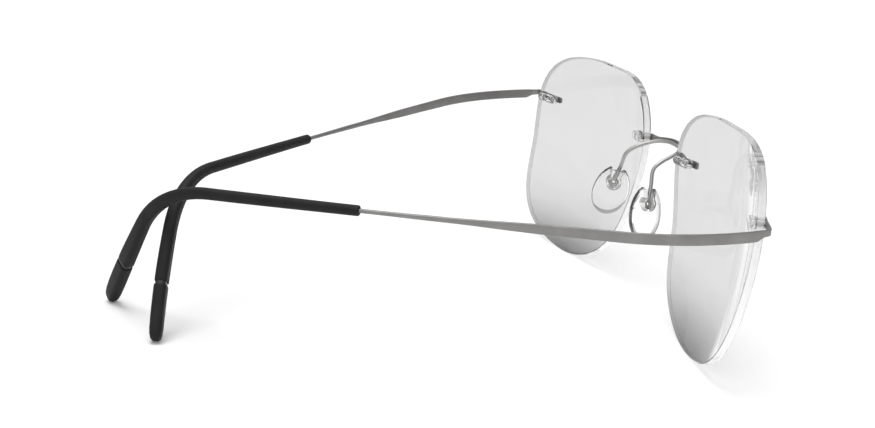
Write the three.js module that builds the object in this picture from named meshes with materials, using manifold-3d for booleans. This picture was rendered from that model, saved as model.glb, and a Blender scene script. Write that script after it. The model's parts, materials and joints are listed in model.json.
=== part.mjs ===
// Rimless, hingeless eyeglasses: two bare lenses held by a titanium bridge and two springy titanium temples.
// Millimetres. +X is the wearer's left, +Y runs back along the temples and +Z is up. The glasses stand on
// their two lens bottoms and their two temple tips, with the right temple laid over the left one.

import * as THREE from 'three';
import { mergeVertices } from 'three/addons/utils/BufferGeometryUtils.js';
import Module from 'manifold-3d';

const wasm = await Module();
wasm.setup();

const radians = THREE.MathUtils.degToRad;

// Where the middle of the front, between the lens centres, stands on the table.
const FRONT_PLACE = new THREE.Vector3(0.14, -56.09, -0.01);

// Lens
const LENS_SPACING = 72.19; // between the two lens centres
const LENS_CENTRE_HEIGHT = 23.63;
const LENS_THICKNESS = 1.75;
const LENS_SURFACE_RADIUS = 80.3;
const LENS_WRAP = radians(7.8); // each lens turns back towards the temple
const LENS_TILT = radians(7.7); // the top of each lens leans forward
const LENS_MEAN_RADIUS = 25.28;
// Each wave adds to the outline's radius: waves per turn, height in mm and the angle of its crest.
const LENS_WAVES = [
  { count: 2, height: 1.8, crest: radians(-19) },
  { count: 3, height: 1.3, crest: radians(30.8) },
  { count: 4, height: 1.23, crest: radians(-41.9) },
  { count: 5, height: 0.23, crest: radians(14.3) },
  { count: 6, height: 0.36, crest: radians(27.2) },
];
const LENS_SIDES = 60;
const LENS_RINGS = 4;

// Bushings: clear double plugs in two holes near each side of a lens
const TEMPLE_SEAT = { u: 21.64, w: 8.5 }; // place on the lens, outwards and up from its centre
const BRIDGE_SEAT = { u: -23.51, w: 9.73 };
const HOLE_SPACING = 2.9;
const HOLE_RADIUS = 0.78;
const BARREL_RADIUS = 0.68;
const BORE_RADIUS = 0.42;
const PRONG_RADIUS = 0.31;
const PRONG_ENTRY = 0.25; // how far a prong reaches into the flange, which is closed behind it
const FLANGE = { length: 6.2, height: 1.75, depth: 0.9, gap: 0.25 };

// Titanium strip
const STRIP_THICKNESS = 0.55;
const BLADE_HEIGHT = 2.05;
const NECK_HEIGHT = 1.25;
const WIRE_DIAMETER = 0.85;
const TAB_REACH = 3.25; // from the middle of the bushing to the end of the tab
const TAB_GAP = 0.15; // between the tab and the lens
const CORNER = new THREE.Vector3(64.26, 5.47, 32.75);

// Temple, which springs sideways about FLEX_POINT
const FLEX_POINT = new THREE.Vector3(64.85, 8.5, 32.5);
const FLEX_GAP = 0.2; // each side of the flex point
const TEMPLE_SWING = radians(2.14); // how far both temples lie round to the wearer's right
const TEMPLE_START = { heading: radians(-5), dip: radians(2) };
// The bends along a temple: length of wire, angle turned inwards, angle turned down.
const TEMPLE_RUNS = [
  { length: 10, turn: radians(13.7), dip: 0 },
  { length: 15.2, turn: radians(25.6), dip: 0 },
  { length: 81.4, turn: radians(4.7), dip: 0 },
  { length: 19.7, turn: radians(24), dip: radians(55.6) },
  { length: 22.5, turn: radians(11.6), dip: radians(-3) },
];
const TEMPLE_LENGTH = TEMPLE_RUNS.reduce((sum, run) => sum + run.length, 0);
const TAPER_START = 34;
const SLEEVE_START = 74.8;
const SEAM_START = 137.1;
const SEAM_WIDTH = 0.7;
const SEAM_GAP = 0.1;
const CORE_END = 143;
const SLEEVE_BORE = WIRE_DIAMETER / 2 + 0.1;

// Bridge, half of it: the bar bows forward over the nose
const BRIDGE_BAR = [
  new THREE.Vector3(6.9, -2.9, 33.8),
  new THREE.Vector3(4.2, -4.05, 34.15),
  new THREE.Vector3(0, -4.15, 34.45),
];
const BAR_HEIGHT = 1.3;
const BAR_WEDGE_HEIGHT = 2.1;

// Nose pads and the wire that carries them
const PAD_WIRE_DIAMETER = 0.85;
const PAD_WIRE = [
  new THREE.Vector3(0, -3.3, 34.35),
  new THREE.Vector3(3.9, -3, 34.1),
  new THREE.Vector3(6.1, -1.1, 33.6),
  new THREE.Vector3(7.25, 2.7, 32.1),
  new THREE.Vector3(7.65, 4.35, 30.7),
  new THREE.Vector3(8.7, 5.05, 27.3),
];
const PAD_CENTRE = new THREE.Vector3(9.89, 6.36, 21.88);
const PAD_UP = new THREE.Vector3(-0.239, -0.153, 0.959);
const PAD_OUT = new THREE.Vector3(0.935, -0.301, 0.186);
const PAD_LENGTH = 11.8;
const PAD_WIDTH = 8;
const PAD_THICKNESS = 2.6;
const EYELET = { above: 1.98, out: 0.4, ring: 0.66, wire: 0.36 };
const BOX = {
  radius: 1.55,
  wall: 0.3,
  throat: 1.05,
  flare: 2.1,
  mouth: 1.5,
  mouthHeight: 3,
  floor: -0.78,
  top: 1.0,
};

const titanium = new THREE.MeshStandardMaterial({ color: 0x8c8a88, roughness: 0.45, metalness: 0.9 });
const clearLens = new THREE.MeshStandardMaterial({ color: 0xe8eaec, roughness: 0.05, metalness: 0 });
const clearPlastic = new THREE.MeshStandardMaterial({ color: 0xdcdedf, roughness: 0.2, metalness: 0 });
const silicone = new THREE.MeshStandardMaterial({ color: 0xe2e3e3, roughness: 0.35, metalness: 0 });
const blackRubber = new THREE.MeshStandardMaterial({ color: 0x1b1b1c, roughness: 0.65, metalness: 0 });
const blackGloss = new THREE.MeshStandardMaterial({ color: 0x0e0e0f, roughness: 0.15, metalness: 0 });

// --- Shape tools ---

function toSolid(geometry) {
  const bare = geometry.index ? geometry.clone() : geometry;
  bare.deleteAttribute('normal');
  bare.deleteAttribute('uv');
  const merged = mergeVertices(bare, 1e-5);
  return new wasm.Manifold(new wasm.Mesh({
    numProp: 3,
    vertProperties: new Float32Array(merged.attributes.position.array),
    triVerts: new Uint32Array(merged.index.array),
  }));
}

function toGeometry(solid) {
  const mesh = solid.getMesh();
  const geometry = new THREE.BufferGeometry();
  geometry.setAttribute('position', new THREE.BufferAttribute(mesh.vertProperties, 3));
  geometry.setIndex(new THREE.BufferAttribute(mesh.triVerts, 1));
  return geometry;
}

function joined(geometries) {
  const solids = geometries.map(toSolid);
  return toGeometry(solids.reduce((whole, next) => whole.add(next)));
}

function cut(geometry, cutters) {
  const solids = cutters.map(toSolid);
  return toGeometry(solids.reduce((whole, next) => whole.subtract(next), toSolid(geometry)));
}

// A closed skin over rings of points, with a fan of triangles over each end.
function loft(rings) {
  const count = rings[0].length;
  const points = rings.flat();
  const faces = [];
  const endMiddle = (ring) => ring
    .reduce((sum, point) => sum.add(point), new THREE.Vector3())
    .divideScalar(count);
  for (let ring = 0; ring + 1 < rings.length; ring += 1) {
    for (let side = 0; side < count; side += 1) {
      const next = (side + 1) % count;
      const a = ring * count + side;
      const b = ring * count + next;
      faces.push(a, b, b + count, a, b + count, a + count);
    }
  }
  const first = points.length;
  const last = first + 1;
  const lastRing = (rings.length - 1) * count;
  points.push(endMiddle(rings[0]), endMiddle(rings[rings.length - 1]));
  for (let side = 0; side < count; side += 1) {
    const next = (side + 1) % count;
    faces.push(first, next, side);
    faces.push(last, lastRing + side, lastRing + next);
  }
  const geometry = new THREE.BufferGeometry().setFromPoints(points);
  geometry.setIndex(faces);
  return geometry;
}

// A ring of points round a spot on a path. Squareness 0 is an ellipse and 1 is nearly a rectangle.
function section(spot, { width, height, squareness = 0, lift = 0 }, sides) {
  const across = new THREE.Vector3().crossVectors(spot.up, spot.along).normalize();
  const up = new THREE.Vector3().crossVectors(spot.along, across).normalize();
  const power = 1 - 0.75 * squareness;
  const bulge = (value) => Math.sign(value) * Math.abs(value) ** power;
  const ring = [];
  for (let side = 0; side < sides; side += 1) {
    const angle = (side + 0.5) / sides * Math.PI * 2;
    ring.push(spot.place.clone()
      .addScaledVector(across, bulge(Math.cos(angle)) * width / 2)
      .addScaledVector(up, bulge(Math.sin(angle)) * height / 2 + lift));
  }
  return ring;
}

function sweep(spots, profile, sides) {
  return loft(spots.map((spot, index) => section(spot, profile(spot, index), sides)));
}

// Spots along a smooth curve through the points, each with its direction and the strip's own up.
function spotsOnCurve(points, ups, steps) {
  const curve = new THREE.CatmullRomCurve3(points, false, 'centripetal');
  const upCurve = new THREE.CatmullRomCurve3(ups, false, 'centripetal');
  const spots = [];
  for (let step = 0; step <= steps; step += 1) {
    const t = step / steps;
    spots.push({
      t,
      place: curve.getPoint(t),
      along: curve.getTangent(t),
      up: upCurve.getPoint(t).normalize(),
    });
  }
  return spots;
}

// A value that steps smoothly through pairs of [position, value].
function graded(stops, position) {
  const after = stops.findIndex(([at]) => at >= position);
  if (after === 0) return stops[0][1];
  if (after < 0) return stops[stops.length - 1][1];
  const [fromAt, from] = stops[after - 1];
  const [toAt, to] = stops[after];
  return THREE.MathUtils.lerp(from, to, THREE.MathUtils.smoothstep(position, fromAt, toAt));
}

// The same shape on the other side of the X = 0 plane.
function mirrored(geometry) {
  const copy = geometry.clone().scale(-1, 1, 1);
  const index = Array.from(copy.index.array);
  for (let face = 0; face < index.length; face += 3) {
    [index[face + 1], index[face + 2]] = [index[face + 2], index[face + 1]];
  }
  copy.setIndex(index);
  return copy;
}

// --- Lens ---

// The left lens's own frame: X outwards, Y back and Z up from the lens centre.
const lensFrame = new THREE.Matrix4()
  .makeRotationFromEuler(new THREE.Euler(LENS_TILT, 0, LENS_WRAP, 'XYZ'))
  .setPosition(LENS_SPACING / 2, 0, LENS_CENTRE_HEIGHT);

function lensOutlineRadius(angle) {
  const wave = (sum, { count, height, crest }) => sum + height * Math.cos(count * (angle - crest));
  return LENS_WAVES.reduce(wave, LENS_MEAN_RADIUS);
}

const lensSag = (u, w) => (u * u + w * w) / (2 * LENS_SURFACE_RADIUS);

function lensRing(fraction, offset) {
  const ring = [];
  for (let side = 0; side < LENS_SIDES; side += 1) {
    const angle = side / LENS_SIDES * Math.PI * 2;
    const radius = lensOutlineRadius(angle) * fraction;
    const u = radius * Math.cos(angle);
    const w = radius * Math.sin(angle);
    ring.push(new THREE.Vector3(u, lensSag(u, w) - offset, w));
  }
  return ring;
}

// A frame on the back face of the lens: X along the lens outwards, Y straight out of its back.
function seatFrame({ u, w }) {
  const back = new THREE.Vector3(-u, LENS_SURFACE_RADIUS, -w).normalize();
  const along = new THREE.Vector3(LENS_SURFACE_RADIUS, u, 0).normalize();
  const up = new THREE.Vector3().crossVectors(along, back).normalize();
  along.crossVectors(back, up);
  return new THREE.Matrix4().makeBasis(along, back, up).setPosition(u, lensSag(u, w), w);
}

function plug(radius, from, to, offset, sides) {
  const cylinder = new THREE.CylinderGeometry(radius, radius, to - from, sides);
  return cylinder.translate(offset, (from + to) / 2, 0);
}

const plugPair = (radius, from, to, sides) => [-0.5, 0.5]
  .map((place) => plug(radius, from, to, place * HOLE_SPACING, sides));

function lensGeometry() {
  const fractions = Array.from({ length: LENS_RINGS }, (_, ring) => (ring + 1) / LENS_RINGS);
  const back = fractions.map((fraction) => lensRing(fraction, 0));
  const front = fractions.map((fraction) => lensRing(fraction, LENS_THICKNESS)).reverse();
  const body = loft([lensRing(0.04, 0), ...back, ...front, lensRing(0.04, LENS_THICKNESS)]);
  const holes = [TEMPLE_SEAT, BRIDGE_SEAT].flatMap((seat) => (
    plugPair(HOLE_RADIUS, -LENS_THICKNESS - 1, 1, 14).map((hole) => hole.applyMatrix4(seatFrame(seat)))
  ));
  return cut(body, holes).applyMatrix4(lensFrame);
}

// --- Bushing ---

function stadium(length, height) {
  const radius = height / 2;
  const straight = length / 2 - radius;
  const shape = new THREE.Shape();
  shape.absarc(straight, 0, radius, -Math.PI / 2, Math.PI / 2, false);
  shape.absarc(-straight, 0, radius, Math.PI / 2, Math.PI * 1.5, false);
  return shape;
}

function bushingGeometry(seat) {
  const flange = new THREE.ExtrudeGeometry(stadium(FLANGE.length, FLANGE.height), {
    depth: FLANGE.depth,
    bevelEnabled: false,
    curveSegments: 8,
  });
  flange.rotateX(Math.PI / 2).translate(0, FLANGE.gap + FLANGE.depth, 0);
  const barrels = plugPair(BARREL_RADIUS, -LENS_THICKNESS + 0.1, FLANGE.gap + FLANGE.depth / 2, 12);
  const bores = plugPair(BORE_RADIUS, -LENS_THICKNESS - 1, FLANGE.gap + PRONG_ENTRY + 0.15, 10);
  return cut(joined([flange, ...barrels]), bores)
    .applyMatrix4(seatFrame(seat))
    .applyMatrix4(lensFrame);
}

// --- Titanium strip on the lens: tabs, prongs, corner ---

const stripDepth = -(LENS_THICKNESS + TAB_GAP + STRIP_THICKNESS / 2);

function seatPoint(seat, along) {
  return new THREE.Vector3(along, stripDepth, 0).applyMatrix4(seatFrame(seat)).applyMatrix4(lensFrame);
}

function seatUp(seat) {
  const up = new THREE.Vector3();
  new THREE.Matrix4().multiplyMatrices(lensFrame, seatFrame(seat)).extractBasis(
    new THREE.Vector3(),
    new THREE.Vector3(),
    up,
  );
  return up;
}

function prongs(seat) {
  const tip = FLANGE.gap + PRONG_ENTRY;
  return plugPair(PRONG_RADIUS, stripDepth, tip, 8)
    .map((prong) => prong.applyMatrix4(seatFrame(seat)).applyMatrix4(lensFrame));
}

const vertical = new THREE.Vector3(0, 0, 1);

function templeMountGeometry() {
  const up = seatUp(TEMPLE_SEAT);
  const edge = seatPoint(TEMPLE_SEAT, TAB_REACH + 0.6);
  const toEdge = new THREE.Vector3().subVectors(edge, CORNER).normalize();
  const toFlex = new THREE.Vector3().subVectors(FLEX_POINT, CORNER).normalize();
  const bend = 0.9;
  const points = [
    seatPoint(TEMPLE_SEAT, -TAB_REACH),
    seatPoint(TEMPLE_SEAT, 0),
    edge,
    CORNER.clone().addScaledVector(toEdge, bend),
    CORNER.clone().addScaledVector(toEdge, bend / 4).addScaledVector(toFlex, bend / 4),
    CORNER.clone().addScaledVector(toFlex, bend),
    FLEX_POINT.clone().addScaledVector(toFlex, -FLEX_GAP),
  ];
  const ups = [up, up, up, up, vertical, vertical, vertical];
  const heights = [[0, 0.9], [0.04, 1.4], [0.5, NECK_HEIGHT], [0.84, NECK_HEIGHT], [1, 1.85]];
  const strip = sweep(spotsOnCurve(points, ups, 22), ({ t }) => ({
    width: STRIP_THICKNESS,
    height: graded(heights, t),
    squareness: 1,
    lift: graded([[0.5, 0], [0.7, 0.3], [0.84, 0.3], [1, 0.08]], t),
  }), 8);
  return joined([strip, ...prongs(TEMPLE_SEAT)]);
}

function bridgeGeometry() {
  const flip = (point) => new THREE.Vector3(-point.x, point.y, point.z);
  const up = seatUp(BRIDGE_SEAT);
  const half = [
    seatPoint(BRIDGE_SEAT, TAB_REACH + 0.3),
    seatPoint(BRIDGE_SEAT, 0),
    seatPoint(BRIDGE_SEAT, -TAB_REACH + 0.2),
    ...BRIDGE_BAR,
  ];
  const halfUps = [up, up, up, vertical, vertical, vertical];
  const points = [...half, ...half.slice(0, -1).reverse().map(flip)];
  const ups = [...halfUps, ...halfUps.slice(0, -1).reverse().map(flip)];
  const heights = [[0, 1.45], [0.1, 1.2], [0.2, 1.3], [0.29, BAR_WEDGE_HEIGHT], [0.4, BAR_HEIGHT]];
  const bar = sweep(spotsOnCurve(points, ups, 35), ({ t }) => ({
    width: STRIP_THICKNESS,
    height: graded(heights, Math.min(t, 1 - t)),
    squareness: 1,
  }), 8);
  const leftProngs = prongs(BRIDGE_SEAT);
  return joined([bar, ...leftProngs, ...leftProngs.map(mirrored)]);
}

// --- Nose pads ---

// The left pad's frame: X out towards the lens, Y back and Z up.
const padFrame = (() => {
  const up = PAD_UP.clone().normalize();
  const back = new THREE.Vector3().crossVectors(up, PAD_OUT).normalize();
  const out = new THREE.Vector3().crossVectors(back, up);
  return new THREE.Matrix4().makeBasis(out, back, up).setPosition(PAD_CENTRE);
})();

const eyeletCentre = new THREE.Vector3(EYELET.out, 0, EYELET.above).applyMatrix4(padFrame);

function padWireGeometry() {
  const flip = (point) => new THREE.Vector3(-point.x, point.y, point.z);
  const top = new THREE.Vector3(EYELET.out, 0, EYELET.above + EYELET.ring).applyMatrix4(padFrame);
  const half = [...PAD_WIRE, top];
  const points = [...half.slice(1).reverse().map(flip), ...half];
  const forward = new THREE.Vector3(0, -1, 0.35);
  const ups = points.map(() => forward);
  const size = { width: PAD_WIRE_DIAMETER, height: PAD_WIRE_DIAMETER };
  const wire = sweep(spotsOnCurve(points, ups, 42), () => size, 8);
  const ring = new THREE.TorusGeometry(EYELET.ring, EYELET.wire, 8, 14)
    .rotateY(Math.PI / 2)
    .translate(EYELET.out, 0, EYELET.above)
    .applyMatrix4(padFrame);
  const rings = [ring, mirrored(ring)];
  return joined([wire, ...rings]);
}

// Keyhole outline round the eyelet, grown or shrunk by margin, and open upwards past the pad.
function keyhole(margin, reach) {
  const radius = BOX.radius + margin;
  const throat = BOX.throat + margin;
  const mouth = BOX.mouth + margin;
  const join = Math.asin(throat / radius);
  const shape = new THREE.Shape();
  shape.absarc(0, 0, radius, Math.PI / 2 + join, Math.PI / 2 - join + Math.PI * 2, false);
  shape.quadraticCurveTo(throat, BOX.flare, mouth, BOX.mouthHeight);
  shape.lineTo(mouth, reach);
  shape.lineTo(-mouth, reach);
  shape.lineTo(-mouth, BOX.mouthHeight);
  shape.quadraticCurveTo(-throat, BOX.flare, -throat, Math.cos(join) * radius);
  return shape;
}

function keyholeBlock(margin, reach, from, to) {
  const block = new THREE.ExtrudeGeometry(keyhole(margin, reach), {
    depth: to - from,
    bevelEnabled: false,
    curveSegments: 10,
  });
  const axes = new THREE.Matrix4().makeBasis(
    new THREE.Vector3(0, 1, 0),
    new THREE.Vector3(0, 0, 1),
    new THREE.Vector3(1, 0, 0),
  );
  return block.applyMatrix4(axes).translate(from, 0, EYELET.above);
}

function padBoxGeometry() {
  const outside = keyholeBlock(0, BOX.mouthHeight + 0.05, BOX.floor, BOX.top);
  const pocket = keyholeBlock(-BOX.wall, 4.2, BOX.floor + BOX.wall, BOX.top + 1);
  return cut(outside, [pocket]).applyMatrix4(padFrame);
}

function nosePadGeometry() {
  const rings = [];
  const steps = 10;
  for (let step = 0; step <= steps; step += 1) {
    const angle = -Math.PI / 2 + Math.PI * (step + 0.35) / (steps + 0.7);
    const ring = [];
    const spread = Math.cos(angle) ** 0.6;
    const depth = Math.sin(angle) * PAD_THICKNESS / 2;
    for (let side = 0; side < 26; side += 1) {
      const turn = side / 26 * Math.PI * 2;
      const across = Math.cos(turn) * PAD_WIDTH / 2;
      const along = Math.sin(turn) * PAD_LENGTH / 2;
      ring.push(new THREE.Vector3(depth, across * spread, along * spread));
    }
    rings.push(ring);
  }
  const socket = keyholeBlock(0.12, 6, BOX.floor - 0.12, BOX.top + 2);
  return cut(loft(rings), [socket]).applyMatrix4(padFrame);
}

// --- Temples, in a frame at the flex point of the left one ---

// The spot a given length of wire back from the flex point.
function templeSpot(distance) {
  const steps = 48;
  let { heading, dip } = TEMPLE_START;
  let left = distance;
  const place = new THREE.Vector3();
  const along = new THREE.Vector3();
  const aim = () => along.set(
    -Math.sin(heading) * Math.cos(dip),
    Math.cos(heading) * Math.cos(dip),
    -Math.sin(dip),
  );
  for (const run of TEMPLE_RUNS) {
    const part = Math.min(left, run.length);
    for (let step = 0; step < steps; step += 1) {
      const share = part / run.length / steps;
      heading += run.turn * share / 2;
      dip += run.dip * share / 2;
      place.addScaledVector(aim(), part / steps);
      heading += run.turn * share / 2;
      dip += run.dip * share / 2;
    }
    left -= part;
  }
  return { distance, place, along: aim().clone(), up: vertical };
}

function templeSpots(from, to, steps) {
  return Array.from({ length: steps + 1 }, (_, step) => templeSpot(from + (to - from) * step / steps));
}

function templeBladeGeometry() {
  const heights = [[0, 1.85], [1.4, BLADE_HEIGHT], [TAPER_START, BLADE_HEIGHT], [SLEEVE_START - 3, WIRE_DIAMETER]];
  const spots = [
    ...templeSpots(FLEX_GAP, 26, 10),
    ...templeSpots(30, SLEEVE_START - 3, 8),
    ...templeSpots(SLEEVE_START, CORE_END, 18),
  ];
  return sweep(spots, ({ distance }) => ({
    width: graded([[TAPER_START, STRIP_THICKNESS], [SLEEVE_START - 3, WIRE_DIAMETER]], distance),
    height: graded(heights, distance),
    squareness: graded([[TAPER_START, 1], [SLEEVE_START - 3, 0]], distance),
    lift: graded([[0, 0.08], [1.4, 0]], distance),
  }), 8);
}

// Outer height and thickness of the sleeve and cap at a distance along the temple.
const sleeveHeight = (distance) => graded([
  [SLEEVE_START, 2.1], [104, 2.3], [124, 2.85], [SEAM_START, 3.6], [143, 3.75], [TEMPLE_LENGTH, 3.3],
], distance);
const sleeveThickness = (distance) => graded([[SLEEVE_START, 2.1], [104, 2.2], [124, 2.6]], distance);

function tube(from, to, steps, inset) {
  const outside = sweep(templeSpots(from, to, steps), ({ distance }) => ({
    width: sleeveThickness(distance) - inset,
    height: sleeveHeight(distance) - inset,
    squareness: 0.25,
  }), 10);
  const bore = { width: SLEEVE_BORE * 2, height: SLEEVE_BORE * 2 };
  return cut(outside, [sweep(templeSpots(from - 0.5, to + 0.5, steps + 1), () => bore, 8)]);
}

const templeSleeveGeometry = () => tube(SLEEVE_START, SEAM_START, 18, 0);

const tipRingGeometry = () => tube(SEAM_START + SEAM_GAP, SEAM_START + SEAM_WIDTH, 1, 0.7);

function tipCapGeometry() {
  const start = SEAM_START + SEAM_WIDTH + SEAM_GAP;
  const shrink = [[TEMPLE_LENGTH - 2, 1], [TEMPLE_LENGTH - 0.8, 0.88], [TEMPLE_LENGTH, 0.6]];
  const outside = sweep(templeSpots(start, TEMPLE_LENGTH, 9), ({ distance }) => {
    const scale = graded(shrink, distance);
    return {
      width: sleeveThickness(distance) * scale,
      height: sleeveHeight(distance) * scale,
      squareness: 0.25,
    };
  }, 10);
  const bore = { width: SLEEVE_BORE * 2, height: SLEEVE_BORE * 2 };
  return cut(outside, [sweep(templeSpots(start - 0.5, CORE_END + 0.5, 4), () => bore, 8)]);
}

// --- Assembly ---

function addPart(parent, name, geometry, material) {
  const mesh = new THREE.Mesh(geometry, material);
  mesh.name = name;
  parent.add(mesh);
}

function addPair(leftParent, rightParent, name, geometry, material) {
  addPart(leftParent, `${name}_left`, geometry, material);
  addPart(rightParent, `${name}_right`, mirrored(geometry), material);
}

function templeGroup(side) {
  const group = new THREE.Group();
  group.position.set(side * FLEX_POINT.x, FLEX_POINT.y, FLEX_POINT.z);
  group.rotation.z = TEMPLE_SWING;
  return group;
}

const glasses = new THREE.Group();
glasses.position.copy(FRONT_PLACE);
const leftTemple = templeGroup(1);
const rightTemple = templeGroup(-1);
glasses.add(leftTemple, rightTemple);

addPair(glasses, glasses, 'lens', lensGeometry(), clearLens);
addPair(glasses, glasses, 'temple_bushing', bushingGeometry(TEMPLE_SEAT), clearPlastic);
addPair(glasses, glasses, 'bridge_bushing', bushingGeometry(BRIDGE_SEAT), clearPlastic);
addPair(glasses, glasses, 'temple_mount', templeMountGeometry(), titanium);
addPart(glasses, 'bridge', bridgeGeometry(), titanium);
addPart(glasses, 'pad_wire', padWireGeometry(), titanium);
addPair(glasses, glasses, 'pad_box', padBoxGeometry(), clearPlastic);
addPair(glasses, glasses, 'nose_pad', nosePadGeometry(), silicone);
addPair(leftTemple, rightTemple, 'temple_blade', templeBladeGeometry(), titanium);
addPair(leftTemple, rightTemple, 'temple_sleeve', templeSleeveGeometry(), blackRubber);
addPair(leftTemple, rightTemple, 'tip_ring', tipRingGeometry(), blackGloss);
addPair(leftTemple, rightTemple, 'tip_cap', tipCapGeometry(), blackRubber);

export default glasses;
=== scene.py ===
import json
import math

import bmesh
import bpy
from mathutils import Matrix, Vector


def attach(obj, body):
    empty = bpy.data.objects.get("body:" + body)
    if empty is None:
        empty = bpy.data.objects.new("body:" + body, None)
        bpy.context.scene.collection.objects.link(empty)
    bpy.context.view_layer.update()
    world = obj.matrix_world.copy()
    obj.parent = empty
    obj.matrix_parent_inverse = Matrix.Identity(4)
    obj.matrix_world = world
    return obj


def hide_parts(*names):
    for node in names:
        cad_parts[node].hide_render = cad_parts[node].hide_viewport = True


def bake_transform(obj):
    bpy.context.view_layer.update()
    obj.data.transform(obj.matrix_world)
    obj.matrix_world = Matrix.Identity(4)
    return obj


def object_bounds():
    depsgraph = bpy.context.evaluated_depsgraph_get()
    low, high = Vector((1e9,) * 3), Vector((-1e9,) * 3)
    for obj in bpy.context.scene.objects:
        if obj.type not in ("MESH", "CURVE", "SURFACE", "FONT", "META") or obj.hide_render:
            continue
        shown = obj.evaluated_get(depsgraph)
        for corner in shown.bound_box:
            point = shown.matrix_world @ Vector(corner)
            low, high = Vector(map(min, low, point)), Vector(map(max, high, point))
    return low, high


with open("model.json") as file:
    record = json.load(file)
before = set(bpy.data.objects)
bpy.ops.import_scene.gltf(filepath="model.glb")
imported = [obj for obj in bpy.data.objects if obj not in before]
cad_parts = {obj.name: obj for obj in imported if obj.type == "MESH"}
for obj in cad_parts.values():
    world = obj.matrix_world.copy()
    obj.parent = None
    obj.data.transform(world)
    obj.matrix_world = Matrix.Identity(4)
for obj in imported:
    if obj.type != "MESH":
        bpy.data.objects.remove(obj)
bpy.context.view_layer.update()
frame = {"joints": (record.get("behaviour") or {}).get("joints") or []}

MM = 0.001

# Shapes below are in millimetres, from the middle of the front on the table, as in the CAD model. FRONT is
# where that is in the model's own frame: half way between the two points where the temples flex.
FLEX_POINT = Vector((64.85, 8.5, 32.5))
JOINTS = {joint["name"]: joint for joint in frame["joints"]}
FLEX_LEFT = Vector(JOINTS["left_temple_flex"]["pos_m"])
FLEX_RIGHT = Vector(JOINTS["right_temple_flex"]["pos_m"])
FRONT = (FLEX_LEFT + FLEX_RIGHT) / 2 - Vector((0, FLEX_POINT.y, FLEX_POINT.z)) * MM

# Lens
LENS_SPACING = 72.19
LENS_CENTRE_HEIGHT = 23.63
LENS_THICKNESS = 1.75
LENS_SURFACE_RADIUS = 80.3
LENS_WRAP = math.radians(7.8)
LENS_TILT = math.radians(7.7)
LENS_MEAN_RADIUS = 25.28
# Waves that add to the outline's radius: how many to a turn, height, and the angle of the crest in degrees.
LENS_WAVES = (
    (2, 1.80, -19.0),
    (3, 1.30, 30.8),
    (4, 1.23, -41.9),
    (5, 0.23, 14.3),
    (6, 0.36, 27.2),
)
LENS_SIDES = 240
LENS_RINGS = 18
LENS_MIDDLE = 0.02  # size of the innermost ring of points, as a share of the outline
LENS_BEVEL = 0.16
LENS_TOP = 0.046  # in metres, where the height scale ends for the lens tint's painted shadow and the edge's painted shade
LENS_IOR = 1.5
GLASS_SHADE = 0.8

# Which of a lens's four materials a face takes, by how squarely it faces back
FRONT_FACE, BACK_FACE, WALL, RIM = range(4)
SQUARE_ON = 0.8
EDGE_ON = 0.2

# Bushings: their places on the lens, outwards and up from its middle
TEMPLE_SEAT = (21.64, 8.5)
BRIDGE_SEAT = (-23.51, 9.73)
HOLE_SPACING = 2.9
HOLE_RADIUS = 0.78
BARREL_RADIUS = 0.74
BORE_RADIUS = 0.36
PRONG_RADIUS = 0.33
PRONG_ENTRY = 0.25
FLANGE_LENGTH = 6.2
FLANGE_HEIGHT = 1.75
FLANGE_DEPTH = 1.0
FLANGE_GAP = 0.03
FLANGE_BEVEL = 0.22
FLANGE_ARC_STEPS = 12
BARREL_END = 0.4  # how far the barrels and the flange share their material
THROUGH_LENS = -3.0  # a depth that is well in front of the lens

# Titanium strip
STRIP_THICKNESS = 0.55
STRIP_EDGE = 0.12  # radius of the strip's edges
BLADE_HEIGHT = 2.05
NECK_HEIGHT = 1.25
WIRE_DIAMETER = 0.85
TAB_REACH = 3.25
TAB_GAP = 0.02
CORNER = Vector((64.26, 5.47, 32.75))
CORNER_BEND = 0.8
NECK_LIFT = 0.28  # how far the neck's middle is above the blade's
STRIP_DEPTH = -(LENS_THICKNESS + TAB_GAP + STRIP_THICKNESS / 2)
PRONG_TIP = FLANGE_GAP + PRONG_ENTRY - 0.05

# Temple: the bends of the wire as length, angle inwards and angle down in degrees
TEMPLE_SWING = math.radians(2.14)
TEMPLE_HEADING = math.radians(-5)
TEMPLE_DIP = math.radians(2)
TEMPLE_RUNS = (
    (10.0, 13.7, 0.0),
    (15.2, 25.6, 0.0),
    (81.4, 4.7, 0.0),
    (19.7, 24.0, 55.6),
    (22.5, 11.6, -3.0),
)
TEMPLE_LENGTH = sum(run[0] for run in TEMPLE_RUNS)
TAPER_START = 34.0
SLEEVE_START = 74.8
TAPER_END = SLEEVE_START - 3
BLADE_TAPER = ((24, BLADE_HEIGHT), (38, 1.85), (58, 1.05), (TAPER_END, WIRE_DIAMETER))
SEAM_START = 137.1
SEAM_WIDTH = 0.7
SEAM_INSET = 0.42

# Bridge and pads
BRIDGE_BAR = (Vector((6.9, -2.9, 33.8)), Vector((4.2, -4.05, 34.15)), Vector((0, -4.15, 34.45)))
BAR_HEIGHT = 1.3
BAR_WEDGE_HEIGHT = 2.1
PAD_WIRE_DIAMETER = 0.85
PAD_WIRE = (
    Vector((0, -3.45, 34.35)),
    Vector((3.9, -3.15, 34.1)),
    Vector((6.1, -1.1, 33.6)),
    Vector((7.25, 2.7, 32.1)),
    Vector((7.65, 4.35, 30.7)),
    Vector((8.7, 5.05, 27.3)),
)
PAD_CENTRE = Vector((9.89, 6.36, 21.88))
PAD_UP = Vector((-0.239, -0.153, 0.959))
PAD_OUT = Vector((0.935, -0.301, 0.186))
PAD_LENGTH = 11.8
PAD_WIDTH = 8.0
PAD_THICKNESS = 2.6
PAD_NARROWING = 0.06  # how much narrower its top is and how much wider its bottom
EYELET_ABOVE = 1.98
EYELET_OUT = 0.4
EYELET_RING = 0.66
EYELET_WIRE = 0.36
BOX_RADIUS = 1.55
BOX_WALL = 0.3
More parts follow.
